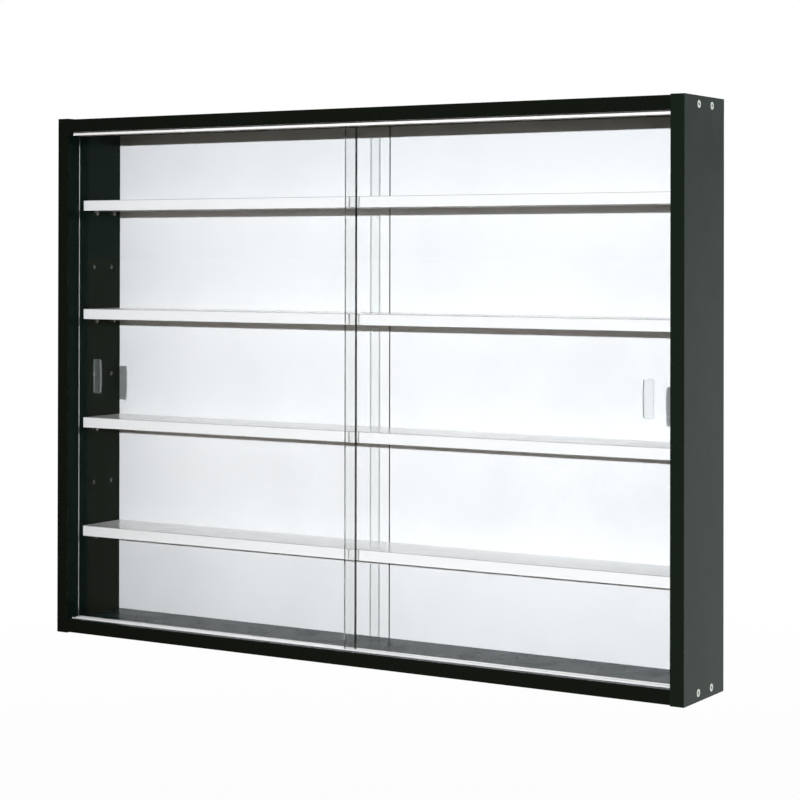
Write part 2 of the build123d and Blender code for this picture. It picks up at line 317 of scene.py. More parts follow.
@dataclass(frozen=True)
class EdgeStrip(Finish):
    """Plastic edge banding with faint trimming lines, and with a thin grey line at some heights."""

    colour: Colour = (0.8, 0.8, 0.8)
    scuffed: Colour = (0.8, 0.8, 0.8)
    roughness: float = 0.3
    uneven: tuple[float, float] = (-0.02, 0.03)
    shine: float = 0.4
    line_size: float = 0.0006
    line_depth: float = 0.000015
    line_stretch: float = 0.02
    smear_size: float = 0.02
    rub_size: float = 0.004
    rub_width: float = 0.0006
    wear: float = 0.6
    glue: Colour = (0.30, 0.29, 0.27)
    glue_half: float = 0.0003
    glue_lines: tuple[float, ...] = ()

    def surface(self, bench: Bench, box: Box) -> Socket:
        """Lays the strip, with trimming lines along its length."""
        size = box[1] - box[0]
        upright = size.z > size.x
        stretch = (1.0, 1.0, self.line_stretch) if upright else (self.line_stretch, 1.0, 1.0)
        lines = bench.noise(self.line_size, 2.0, where=bench.place(stretch))
        edge = bench.near_edge(box, self.rub_width)
        rub = bench.math("MULTIPLY", edge, bench.ease(bench.noise(self.rub_size), 0.45, 0.7))
        base = bench.mix(bench.math("MULTIPLY", rub, self.wear), self.colour, self.scuffed)
        height = bench.add("SeparateXYZ", {0: bench.place()}).outputs[2]
        for line in self.glue_lines:
            gap = bench.math("ABSOLUTE", bench.math("SUBTRACT", height, line))
            shown = bench.ease(gap, self.glue_half, 2 * self.glue_half, 1.0, 0.0)
            base = bench.mix(shown, base, self.glue)
        smear = bench.noise(self.smear_size, 4.0)
        rough, rougher = (self.roughness + change for change in self.uneven)
        gloss = bench.ease(smear, *NOISE_RANGE, rough, rougher)
        return bench.coat(base, gloss, self.shine, bench.bump(lines, self.line_depth, 0.5))


@dataclass(frozen=True)
class BareChipboard(Finish):
    """Cut chipboard: flakes of several browns pressed together, with small gaps."""

    light: Colour = (0.50, 0.35, 0.20)
    dark: Colour = (0.20, 0.12, 0.06)
    flake_size: float = 0.0022
    flake_stretch: float = 0.55
    speck_size: float = 0.0007
    gap_depth: float = 0.0003
    roughness: float = 0.85
    shine: float = 0.25

    def surface(self, bench: Bench, box: Box) -> Socket:
        """Lays the cut board: tinted flakes with gaps between them."""
        flakes = bench.cells(self.flake_size, bench.place((1.0, 1.0, self.flake_stretch)))
        tint = bench.add("SeparateColor", {0: flakes.outputs["Color"]}).outputs[0]
        base = bench.mix(tint, self.dark, self.light)
        base = bench.mix(bench.ease(bench.noise(self.speck_size), *NOISE_RANGE), base, self.light)
        gaps = bench.ease(flakes.outputs["Distance"], 0.25, 0.75, 1.0, 0.0)
        return bench.coat(base, self.roughness, self.shine, bench.bump(gaps, self.gap_depth, 0.8))


@dataclass(frozen=True)
class Lacquer(Finish):
    """Thin white lacquer, with a slight peel, pale smudges and painted shade along the fold."""

    colour: Colour = (0.85, 0.87, 0.89)
    smudge: Colour = (0.80, 0.81, 0.82)
    fold_shade_colour: Colour = (0.045, 0.040, 0.034)
    roughness: float = 0.42
    uneven: tuple[float, float] = (-0.04, 0.06)
    shine: float = 0.35
    cloud_size: float = 0.16
    smear_size: float = 0.05
    peel_size: float = 0.0035
    peel_depth: float = 0.00004
    fold_shade_half: float = 0.0006
    fold_shade_fade: float = 0.0009

    def surface(self, bench: Bench, box: Box) -> Socket:
        """Lays the lacquer: near white, very slightly clouded, with painted shade along the fold."""
        cloud = bench.ease(bench.noise(self.cloud_size, 5.0, 0.6), 0.42, 0.72)
        base = bench.mix(cloud, self.colour, self.smudge)
        # Painted shade: the lacquer darkens within about a millimetre of the fold at x = 0, standing in for
        # the shade in its groove.
        aside = bench.math("ABSOLUTE", bench.add("SeparateXYZ", {0: bench.place()}).outputs[0])
        fold_shade = bench.ease(aside, self.fold_shade_half, self.fold_shade_fade, 1.0, 0.0)
        base = bench.mix(fold_shade, base, self.fold_shade_colour)
        peel = bench.noise(self.peel_size, 2.0)
        smear = bench.noise(self.smear_size, 4.0)
        rough, rougher = (self.roughness + change for change in self.uneven)
        gloss = bench.ease(smear, *NOISE_RANGE, rough, rougher)
        return bench.coat(base, gloss, self.shine, bench.bump(peel, self.peel_depth, 0.4))


@dataclass(frozen=True)
class Hardboard(Finish):
    """Raw hardboard: matted brown fibres, with the mesh that the wet side was pressed on."""

    light: Colour = (0.36, 0.22, 0.12)
    dark: Colour = (0.15, 0.085, 0.042)
    roughness: float = 0.8
    shine: float = 0.25
    mesh_pitch: float = 0.0024
    mesh_depth: float = 0.0001
    fibre_size: float = 0.002
    fibre_depth: float = 0.0003
    fibre_stretch: float = 0.25
    fleck_size: float = 0.004
    fleck_stretch: float = 0.4
    fleck_edge: tuple[float, float] = (0.06, 0.16)
    fleck_share: float = 0.55
    blotch_size: float = 0.06
    blotch_share: float = 0.45

    def surface(self, bench: Bench, box: Box) -> Socket:
        """Lays the raw board: fibres, flecks and the pressed mesh."""
        fibre = bench.noise(self.fibre_size, 6.0, 0.7, bench.place((1.0, 1.0, self.fibre_stretch)))
        blotch = bench.noise(self.blotch_size, 4.0)
        base = bench.mix(bench.ease(fibre, *NOISE_RANGE), self.dark, self.light)
        base = bench.mix(bench.ease(blotch, 0.35, 0.75, 0.0, self.blotch_share), base, self.light)
        flecks = bench.cells(self.fleck_size, bench.place((1.0, 1.0, self.fleck_stretch)))
        fleck = bench.ease(flecks.outputs["Distance"], *self.fleck_edge, self.fleck_share, 0.0)
        base = bench.mix(fleck, base, self.dark)
        part = bench.add("SeparateXYZ", {0: bench.place()}).outputs
        turn = 2 * math.pi / self.mesh_pitch
        warp = bench.math("SINE", bench.math("MULTIPLY", part[0], turn))
        weft = bench.math("SINE", bench.math("MULTIPLY", part[2], turn))
        grid = bench.math("MULTIPLY", warp, weft)
        relief = bench.bump(grid, self.mesh_depth, 0.35)
        matted = bench.bump(fibre, self.fibre_depth, 0.6, relief)
        return bench.coat(base, self.roughness, self.shine, matted)


@dataclass(frozen=True)
class Extrusion(Finish):
    """White extruded plastic, half gloss, with draw lines along its length."""

    colour: Colour = (0.85, 0.84, 0.815)
    dusty: Colour = (0.76, 0.75, 0.72)
    roughness: tuple[float, float] = (0.24, 0.34)
    shine: float = 0.5
    line_size: float = 0.0004
    line_depth: float = 0.00002
    line_stretch: float = 0.004
    dust_size: float = 0.02
    dust_share: float = 0.35

    def surface(self, bench: Bench, box: Box) -> Socket:
        """Lays the extruded plastic: draw lines, and a little dust along its length."""
        lines = bench.noise(self.line_size, 2.0, where=bench.place((self.line_stretch, 1.0, 1.0)))
        dust = bench.ease(bench.noise(self.dust_size, 5.0, 0.65), 0.5, 0.8, 0.0, self.dust_share)
        base = bench.mix(dust, self.colour, self.dusty)
        gloss = bench.ease(lines, *NOISE_RANGE, *self.roughness)
        return bench.coat(base, gloss, self.shine, bench.bump(lines, self.line_depth, 0.5))


@dataclass(frozen=True)
class ClearSolid(Finish):
    """A clear solid. Lamps and soft light pass straight through it, so that it can be lit behind."""

    colour: Colour = WHITE
    roughness: float = 0.0
    index: float = 1.5
    clearness: float = 1.0
    shine: float = 0.5
    lets_through: Colour = (0.95, 0.96, 0.955)
    mark_size: float = 0.03
    mark_share: float = 0.0

    def surface(self, bench: Bench, box: Box) -> Socket:
        """Mixes the clear shader with a plain tint for the light that crosses it."""
        inputs: dict[str, Any] = {
            "Base Color": self.colour,
            "Roughness": self.roughness,
            "IOR": self.index,
            "Transmission Weight": self.clearness,
            "Specular IOR Level": self.shine,
        }
        if self.mark_share:
            marks = bench.noise(self.mark_size, 4.0, 0.6)
            rubbed = self.roughness + self.mark_share
            inputs["Roughness"] = bench.ease(marks, 0.4, 0.75, self.roughness, rubbed)
        clear = bench.add("BsdfPrincipled", inputs).outputs[0]
        crossing = bench.add("BsdfTransparent", {0: self.lets_through}).outputs[0]
        ray = bench.add("LightPath").outputs
        soft = bench.math("MAXIMUM", ray["Is Shadow Ray"], ray["Is Diffuse Ray"])
        bounced = bench.math("SUBTRACT", ray["Is Glossy Ray"], ray["Is Transmission Ray"])
        share = bench.math("MAXIMUM", soft, bounced)
        return bench.add("MixShader", {0: share, 1: clear, 2: crossing}).outputs[0]


@dataclass(frozen=True)
class MilkyPlastic(Finish):
    """Clear moulded plastic gone slightly milky, through which what lies behind shows straight."""

    colour: Colour = (0.50, 0.58, 0.56)
    dulled: Colour = (0.40, 0.46, 0.45)
    milk: float = 0.09
    milk_range: tuple[float, float] = (0.85, 1.15)
    edge_milk: float = 0.30
    edge_width: float = 0.0012
    roughness: float = 0.14
    rubbed: float = 0.12
    index: float = 1.49
    mark_size: float = 0.0012
    mark_depth: float = 0.00003
    lets_through: Colour = (0.41, 0.45, 0.45)

    def surface(self, bench: Bench, box: Box) -> Socket:
        """Lays the plastic: milkier along its edges, with fine rubbing marks."""
        marks = bench.noise(self.mark_size, 4.0, 0.6)
        edge = bench.math("MULTIPLY", bench.near_edge(box, self.edge_width), self.edge_milk)
        thin, thick = (self.milk * share for share in self.milk_range)
        milk = bench.ease(marks, *NOISE_RANGE, thin, thick)
        cloudy = bench.add("BsdfPrincipled", {
            "Base Color": bench.mix(marks, self.colour, self.dulled),
            "Roughness": bench.ease(marks, 0.35, 0.75, self.roughness, self.roughness + self.rubbed),
            "IOR": self.index,
            "Alpha": bench.math("ADD", milk, edge),
            "Normal": bench.bump(marks, self.mark_depth, 0.4),
        }).outputs[0]
        crossing = bench.add("BsdfTransparent", {0: self.lets_through}).outputs[0]
        ray = bench.add("LightPath").outputs
        return bench.add("MixShader", {0: ray["Is Shadow Ray"], 1: cloudy, 2: crossing}).outputs[0]


@dataclass(frozen=True)
class Plated(Finish):
    """Plated steel: bright, with fine drawn scratches and slightly dulled patches."""

    colour: Colour = (0.66, 0.65, 0.62)
    dulled: Colour = (0.45, 0.43, 0.40)
    roughness: float = 0.26
    patch_roughness: float = 0.16
    patch_size: float = 0.003
    scratch_size: float = 0.0003
    scratch_depth: float = 0.00001
    scratch_stretch: float = 0.1

    def surface(self, bench: Bench, box: Box) -> Socket:
        """Lays the plating: scratches and dulled patches."""
        patch = bench.ease(bench.noise(self.patch_size, 5.0, 0.6), 0.45, 0.75)
        drawn = bench.place((1.0, 1.0, self.scratch_stretch))
        scratch = bench.noise(self.scratch_size, 2.0, where=drawn)
        shader = bench.add("BsdfPrincipled", {
            "Base Color": bench.mix(patch, self.colour, self.dulled),
            "Metallic": 1.0,
            "Roughness": bench.ease(patch, 0.0, 1.0, self.roughness, self.roughness + self.patch_roughness),
            "Normal": bench.bump(scratch, self.scratch_depth, 0.5),
        })
        return shader.outputs[0]


BLACK_OUTSIDE = Facing(
    "black_outside", colour=(0.0040, 0.0075, 0.0058), handled=(0.0052, 0.0090, 0.0070),
    worn=(0.10, 0.08, 0.06), roughness=0.33, shine=0.16, shine_tint=(0.80, 1.0, 0.92), wear=0.35,
)
# The underside of the top board.
BLACK_INSIDE = Facing(
    "black_inside", colour=(0.0034, 0.0085, 0.0058), handled=(0.0044, 0.0100, 0.0068),
    worn=(0.05, 0.045, 0.035), roughness=0.28, shine=0.07, shine_tint=(0.75, 1.0, 0.90), wear=0.3,
)
# The upper side of the bottom board. Its blue-green base colour is a painted tint of the back's reflection in
# it.
BLACK_FLOOR = replace(
    BLACK_INSIDE, label="black_floor_painted_tint", colour=(0.0040, 0.0220, 0.0240), handled=(0.0050, 0.0240, 0.0260),
    roughness=0.26, shine=0.05,
)
# The side panels' inner sides.
BLACK_CHEEK = replace(
    BLACK_INSIDE, label="black_cheek", colour=(0.0042, 0.0110, 0.0080), handled=(0.0050, 0.0122, 0.0088),
    roughness=0.20, shine=0.03,
)
BLACK_STRIP = EdgeStrip(
    "black_strip", colour=(0.0050, 0.0064, 0.0042), scuffed=(0.03, 0.03, 0.027),
    roughness=0.27, shine=0.16,
)
# A paler, greener copy of the black strip for the right side panel: painted sheen where the key light catches
# it.
RIGHT_STRIP_SHEEN = replace(BLACK_STRIP, label="right_strip_painted_sheen", colour=(0.0068, 0.0110, 0.0072))
WHITE_FACING = Facing(
    "white_facing", colour=(0.86, 0.857, 0.847), handled=(0.84, 0.835, 0.825),
    worn=(0.60, 0.55, 0.47), roughness=0.17, shine=0.8, wear=0.3,
)
# A thin grey line runs along the upper edge of each shelf's strip.
WHITE_STRIP = EdgeStrip(
    "white_strip", colour=(0.88, 0.875, 0.86), scuffed=(0.60, 0.58, 0.54), roughness=0.33,
    shine=0.4, glue_lines=(0.20565, 0.07765, -0.05035, -0.17835),
)
CHIPBOARD = BareChipboard("chipboard")
# Painted shade: the walls of the pin holes take a grey, darker copy of the chipboard.
DRILLED = BareChipboard("pin_hole_painted_shade", light=(0.30, 0.31, 0.28), dark=(0.09, 0.09, 0.08))
# Painted shade: the countersinks round the screw heads take a near-black copy of the chipboard.
SHADED = BareChipboard("countersink_painted_shade", light=(0.05, 0.045, 0.04), dark=(0.02, 0.018, 0.015))
LACQUER = Lacquer("white_lacquer", colour=(0.815, 0.812, 0.803), smudge=(0.775, 0.772, 0.762))
HARDBOARD = Hardboard("raw_hardboard")
# Painted shade: the faces of the fold's groove take a near-black copy of the hardboard.
FOLD_GROOVE_SHADE = Hardboard("fold_painted_shade", light=(0.03, 0.025, 0.02), dark=(0.015, 0.012, 0.01))
TRACK_PLASTIC = Extrusion("track_plastic")
GLASS_FACE = ClearSolid("float_glass", lets_through=(0.955, 0.965, 0.96))
GLASS_EDGE = ClearSolid(
    "glass_edge", colour=(0.022, 0.030, 0.027), roughness=0.05, clearness=0.5, shine=0.1,
    lets_through=(0.20, 0.22, 0.21), mark_size=0.002, mark_share=0.08,
)
GRIP_PLASTIC = MilkyPlastic("clear_moulding", colour=(0.48, 0.60, 0.57), milk=0.10, edge_milk=0.16)
# The walls of a grip, in painted shade: a dark grey that is nearly opaque.
GRIP_WALL_SHADE = MilkyPlastic(
    "moulding_wall_painted_shade", colour=(0.33, 0.345, 0.34), dulled=(0.28, 0.30, 0.29), milk=0.75,
    edge_milk=0.05, lets_through=(0.8, 0.8, 0.8),
)
TAPE = MilkyPlastic(
    "clear_tape", milk=0.02, edge_milk=0.05, roughness=0.3, lets_through=(0.98, 0.98, 0.98),
)
ZINC = Plated("zinc_plating", colour=(0.64, 0.65, 0.66), dulled=(0.46, 0.46, 0.45), roughness=0.28)
# The shelf pins' plating is kept dark: partly their own dull tone, partly painted shade for the shelves'
# shadow on them.
NICKEL = Plated("nickel_plating", colour=(0.52, 0.50, 0.46), dulled=(0.34, 0.32, 0.29), roughness=0.24)
BRIGHT_ZINC = Plated("bright_zinc", colour=(0.90, 0.885, 0.85), dulled=(0.66, 0.64, 0.60), roughness=0.17)
# Painted shade: the faces of a screw's cross recess take a near-black copy of the plating.
RECESS_SHADE = Plated(
    "recess_painted_shade", colour=(0.10, 0.095, 0.085), dulled=(0.04, 0.038, 0.034), roughness=0.5,
)


# Dressing the carried-over nodes


def dress(name: str, finishes: list[Finish], pick: Callable[[Vector, Vector], int] | None = None) -> None:
    """Gives a carried-over node its finishes.

    Args:
        name: the node's name.
        finishes: one finish, or one for each kind of face.
        pick: which of the finishes a face takes, from its centre and its normal.
    """
    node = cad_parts[name]
    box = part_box(name)
    node.data.materials.clear()
    for finish in finishes:
        node.data.materials.append(finish.on(name, box))
    for face in node.data.polygons:
        face.material_index = pick(face.center, face.normal) if pick else 0
    log.info("%s: %s", name, ", ".join(f.label for f in finishes))


def soften(name: str, width: float, steps: int = 2) -> None:
    """Rounds the sharp edges of a box-shaped node with modifiers, which leave its mesh alone.

    Args:
        name: the node's name.
        width: how far the rounding reaches, in metres.
        steps: how many facets it has.
    """
    same_corner = 1e-5
    one_plane = math.radians(1.0)
    sharp_edge = math.radians(40.0)
    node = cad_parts[name]
    node.modifiers.new("close_corners", "WELD").merge_threshold = same_corner
    flat = node.modifiers.new("clear_faces", "DECIMATE")
    flat.decimate_type = "DISSOLVE"
    flat.angle_limit = one_plane
    bevel = node.modifiers.new("eased_edges", "BEVEL")
    bevel.width = width
    bevel.segments = steps
    bevel.limit_method = "ANGLE"
    bevel.angle_limit = sharp_edge
    bevel.harden_normals = True


def join_meshes(name: str, parts: list[tuple[bpy.types.Mesh, Matrix]]) -> bpy.types.Object:
    """Puts copies of meshes together as one object.

    Args:
        name: the new object's name.
        parts: each mesh with its place in the row frame.

    Returns:
        The object, linked to the scene.
    """
    sheet = bmesh.new()
    for mesh, place in parts:
        copy = mesh.copy()
        copy.transform(place)
        sheet.from_mesh(copy)
        bpy.data.meshes.remove(copy)
    whole = bpy.data.meshes.new(name)
    sheet.to_mesh(whole)
    sheet.free()
    piece = bpy.data.objects.new(name, whole)
    bpy.context.scene.collection.objects.link(piece)
    return piece


# Sub-assemblies


@dataclass
class CrossScrew:
    """A countersunk wood screw with a cross recess and a coarse thread, along its own +Z.

    shank, core and head are diameters. recess_shares say how much of an arm's reach is left above
    the head and at the bottom of the recess.
    """

    shank: float = 0.0040
    core: float = 0.0027
    head: float = 0.0082
    head_rim: float = 0.00035
    head_chamfer: float = 0.00012
    length: float = 0.045
    tip: float = 0.004
    tip_shares: tuple[float, float] = (0.35, 0.7)
    pitch: float = 0.0018
    plain: float = 0.010
    crest_steepness: float = 3.2
    recess_width: float = 0.0011
    recess_reach: float = 0.0021
    recess_depth: float = 0.0022
    recess_above: float = 0.0003
    recess_shares: tuple[float, float] = (1.1, 0.28)
    recess_least_width: float = 0.6
    around: int = 20
    rings_per_turn: int = 5

    def body(self) -> bpy.types.Mesh:
        """Turns the head, the plain shank and the thread, with the head's face at z = 0.

        Returns:
            A closed mesh.
        """
        cone = (self.head - self.shank) / 2
        chamfer = self.head_chamfer
        threaded = self.length - self.tip - self.plain
        stations = [
            (self.head / 2 - chamfer, 0.0),
            (self.head / 2, -chamfer),
            (self.head / 2, -self.head_rim),
            (self.shank / 2, -self.head_rim - cone),
            (self.shank / 2, -self.plain),
        ]
        rows = int(threaded / self.pitch * self.rings_per_turn)
        steps = range(self.around)
        sheet = bmesh.new()
        rings = [[sheet.verts.new(self.point(radius, z, i)) for i in steps] for radius, z in stations]
        for row in range(rows + 1):
            z = -self.plain - threaded * row / rows
            grow = min(1.0, row / self.rings_per_turn)
            spots = [self.point(self.thread(z, i, grow), z, i) for i in steps]
            rings.append([sheet.verts.new(spot) for spot in spots])
        for share in self.tip_shares:
            z = -self.length + self.tip * (1 - share)
            radius = self.core / 2 * (1 - share)
            rings.append([sheet.verts.new(self.point(radius, z, i)) for i in steps])
        end = sheet.verts.new((0.0, 0.0, -self.length))
        top = sheet.verts.new((0.0, 0.0, 0.0))
        for i in steps:
            j = (i + 1) % self.around
            sheet.faces.new((rings[0][j], top, rings[0][i]))
            sheet.faces.new((rings[-1][i], end, rings[-1][j]))
            for upper, lower in zip(rings, rings[1:]):
                sheet.faces.new((upper[i], lower[i], lower[j], upper[j]))
        bmesh.ops.recalc_face_normals(sheet, faces=sheet.faces)
        mesh = bpy.data.meshes.new("screw_body")
        sheet.to_mesh(mesh)
        sheet.free()
        return mesh

    def point(self, radius: float, z: float, i: int) -> Triple:
        """Returns the i-th point of a ring of that radius at that height."""
        angle = 2 * math.pi * i / self.around
        return radius * math.cos(angle), radius * math.sin(angle), z

    def thread(self, z: float, i: int, grow: float) -> float:
        """Shapes the thread.

        Args:
            z: the height.
            i: which point round the screw.
            grow: how far the thread has come out of the shank, from 0 to 1.

        Returns:
            The radius there.
        """
        turn = (-z / self.pitch + i / self.around) % 1.0
        crest = max(0.0, 1.0 - abs(turn - 0.5) * self.crest_steepness)
        depth = (self.shank - self.core) / 2
        return self.shank / 2 - depth * grow + depth * grow * crest

    def recess(self) -> bpy.types.Mesh:
        """Builds the tapered cross that is cut out of the head.

        Returns:
            A closed mesh, a little proud of the head's face.
        """
        sheet = bmesh.new()
        heights = (self.recess_above, -self.recess_depth)
        least = self.recess_least_width
        sides = ((0, 1, 2, 3), (7, 6, 5, 4), (0, 4, 5, 1), (1, 5, 6, 2), (2, 6, 7, 3), (3, 7, 4, 0))
        for turn in (0.0, math.pi / 2):
            corners = []
            for z, share in zip(heights, self.recess_shares):
                for x, y in ((-1, -1), (1, -1), (1, 1), (-1, 1)):
                    along = x * self.recess_reach * share
                    across = y * self.recess_width / 2 * (least + (1.0 - least) * share)
                    spot = Matrix.Rotation(turn, 3, "Z") @ Vector((along, across, z))
                    corners.append(sheet.verts.new(spot))
            for side in sides:
                sheet.faces.new([corners[k] for k in side])
        bmesh.ops.recalc_face_normals(sheet, faces=sheet.faces)
        mesh = bpy.data.meshes.new("screw_recess")
        sheet.to_mesh(mesh)
        sheet.free()
        return mesh

    def mesh(self) -> bpy.types.Mesh:
        """Cuts the cross out of the head.

        Returns:
            The finished screw.
        """
        body = bpy.data.objects.new("screw_blank", self.body())
        cutter = bpy.data.objects.new("screw_cutter", self.recess())
        for piece in (body, cutter):
            bpy.context.scene.collection.objects.link(piece)
        cut = body.modifiers.new("cross", "BOOLEAN")
        cut.object = cutter
        cut.operation = "DIFFERENCE"
        cut.solver = "EXACT"
        cut.use_self = True
        bpy.context.view_layer.update()
        shaped = body.evaluated_get(bpy.context.evaluated_depsgraph_get())
        result = bpy.data.meshes.new_from_object(shaped)
        # Faces inside the cross recess take the second finish, which is painted shade.
        reach, deep, face_of_head = self.recess_reach * 1.1, -self.recess_depth * 1.05, -2e-5
        for face in result.polygons:
            spot = face.center
            inside = math.hypot(spot.x, spot.y) < reach
            face.material_index = int(inside and deep < spot.z < face_of_head)
        for piece in (body, cutter):
            bpy.data.objects.remove(piece)
        return result


def set_screws(node: str, screw: CrossScrew, places: list[Matrix], body: str) -> None:
    """Replaces a node of plain screws with finished ones.

    Args:
        node: the node that they stand for.
        screw: the kind of screw.
        places: where each head's face is, and which way it looks.
        body: the body that they ride on.
    """
    first_turn, next_turn = 0.35, 1.1
    mesh = screw.mesh()
    spun = [
        place @ Matrix.Rotation(first_turn + next_turn * k, 4, "Z")
        for k, place in enumerate(places)
    ]
    piece = join_meshes(f"{node}_threaded", [(mesh, place) for place in spun])
    piece.data.materials.clear()
    for finish in (BRIGHT_ZINC, RECESS_SHADE):
        piece.data.materials.append(finish.on(node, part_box(node)))
    for face in piece.data.polygons:
        face.use_smooth = True
    piece.modifiers.new("crisp_corners", "EDGE_SPLIT").split_angle = CRISP
    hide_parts(node)
    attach(piece, body)
    log.info("%s: %d screws with a cross recess and a thread", node, len(places))


@dataclass
class Carcass:
    """The four black boards with their front strips, and the screws that join them."""

    half_width: float = 0.400
    half_height: float = 0.301
    board: float = 0.015
    board_inset: float = 0.001
    screw_sink: float = 0.0002
    screw_depths: tuple[float, float] = (-0.064, -0.032)
    screw_rise: float = 0.2925
    screw_zone: float = 0.006
    rounding: float = 0.0002
    screw: CrossScrew = field(default_factory=CrossScrew)

    def panel_face(self, centre: Vector, normal: Vector) -> int:
        """Tells the faces of a side panel apart.

        Args:
            centre: the centre of a face.
            normal: its normal.

        Returns:
            0 outside and on the ends, 1 inside and in front, 2 on the rear edge, 3 in the pin
            holes and 4 round the screws, the last two painted dark as shade.
        """
        inner = abs(normal.x) > FLAT and abs(centre.x) < self.half_width - self.board + SLACK
        if inner or normal.y < -FLAT:
            return 1
        outside = abs(normal.x) > FLAT and abs(centre.x) > self.half_width - SLACK
        end = abs(normal.z) > FLAT and abs(centre.z) > self.half_height - SLACK
        if outside or end:
            return 0
        if normal.y > FLAT:
            return 2
        return 4 if abs(centre.z) > self.screw_rise - self.screw_zone else 3

    def board_face(self, centre: Vector, normal: Vector) -> int:
        """Tells the faces of the top or bottom board apart.

        Args:
            centre: the centre of a face.
            normal: its normal.

        Returns:
            0 for the outer side, 1 for the inner side and the front edge, and 2 for the cuts.
        """
        outer = self.half_height - self.board_inset
        level = abs(normal.z) > FLAT
        if level and abs(centre.z) > outer - SLACK:
            return 0
        inner = level and abs(centre.z) < outer - self.board + SLACK
        return 1 if inner or normal.y < -FLAT else 2

    def build(self) -> None:
        """Dresses the boards and their strips and sets the screws."""
        panel = [BLACK_OUTSIDE, BLACK_CHEEK, CHIPBOARD, DRILLED, SHADED]
        rises = (-self.screw_rise, self.screw_rise)
        for side in Side:
            dress(f"side_panel_{side.word}", panel, self.panel_face)
            dress(f"side_band_{side.word}", [RIGHT_STRIP_SHEEN if side is Side.RIGHT else BLACK_STRIP])
            soften(f"side_band_{side.word}", self.rounding)
            places = [self.screw_place(side, y, z) for y in self.screw_depths for z in rises]
            set_screws(f"case_screws_{side.word}", self.screw, places, "case")
        for name, inside in (("top", BLACK_INSIDE), ("bottom", BLACK_FLOOR)):
            dress(f"{name}_board", [BLACK_OUTSIDE, inside, CHIPBOARD], self.board_face)
            dress(f"{name}_band", [BLACK_STRIP])
            soften(f"{name}_band", self.rounding)

    def screw_place(self, side: Side, y: float, z: float) -> Matrix:
        """Returns the place of one screw, whose head looks out of the side of the case."""
        turn = Matrix.Rotation(side.value * math.pi / 2, 4, "Y")
        return Matrix.Translation((side.value * (self.half_width - self.screw_sink), y, z)) @ turn


@dataclass
class Back:
    """The thin white back with its fold, and the nails and hangers behind it."""

    front: float = -0.0025
    fold_reach: float = 0.001
    hanger_side: float = 0.3925
    hanger_rear: float = -0.001
    screw_heights: tuple[float, float] = (0.245, 0.281)
    screw: CrossScrew = field(default_factory=lambda: CrossScrew(
        shank=0.0026, core=0.0018, head=0.0054, length=0.012, tip=0.002, pitch=0.0011, plain=0.003,
        recess_width=0.0008, recess_reach=0.0014, recess_depth=0.0013))

    def sheet_face(self, centre: Vector, normal: Vector) -> int:
        """Tells the faces of the sheet apart.

        Args:
            centre: the centre of a face.
            normal: its normal.

        Returns:
            0 for the lacquered front, 1 for the rear and the edges and 2 for the fold, painted near black as
            shade.
        """
        if abs(centre.x) < self.fold_reach and centre.y > self.front and normal.y < FLAT:
            return 2
        return 0 if normal.y < -FLAT and centre.y < self.front + SLACK else 1

    def build(self) -> None:
        """Dresses the back, its nails and its hangers."""
        dress("back_panel", [LACQUER, HARDBOARD, FOLD_GROOVE_SHADE], self.sheet_face)
        dress("back_nails", [ZINC])
        for side in Side:
            dress(f"hanger_{side.word}", [ZINC])
        turn = Matrix.Rotation(-math.pi / 2, 4, "X")
        places = [
            Matrix.Translation((side.value * self.hanger_side, self.hanger_rear, z)) @ turn
            for side in Side
            for z in self.screw_heights
        ]
        set_screws("hanger_screws", self.screw, places, "case")


@dataclass
class Shelves:
    """Four white shelves with a strip on each front edge, and the pins under them."""

    count: int = 4

    def shelf_face(self, centre: Vector, normal: Vector) -> int:
        """Returns 0 for a shelf's faced top and bottom and 1 for its cut ends and rear."""
        return 0 if abs(normal.z) > FLAT else 1

    def build(self) -> None:
        """Dresses the shelves, their front strips and their pins."""
        for k in range(1, self.count + 1):
            dress(f"shelf_{k}", [WHITE_FACING, CHIPBOARD], self.shelf_face)
            dress(f"shelf_pins_{k}", [NICKEL])
        dress("shelf_bands", [WHITE_STRIP])


@dataclass
class Tracks:
    """The upper and lower plastic tracks, each with a channel for either pane."""

    def build(self) -> None:
        """Dresses both tracks."""
        for name in ("upper_track", "lower_track"):
            dress(name, [TRACK_PLASTIC])


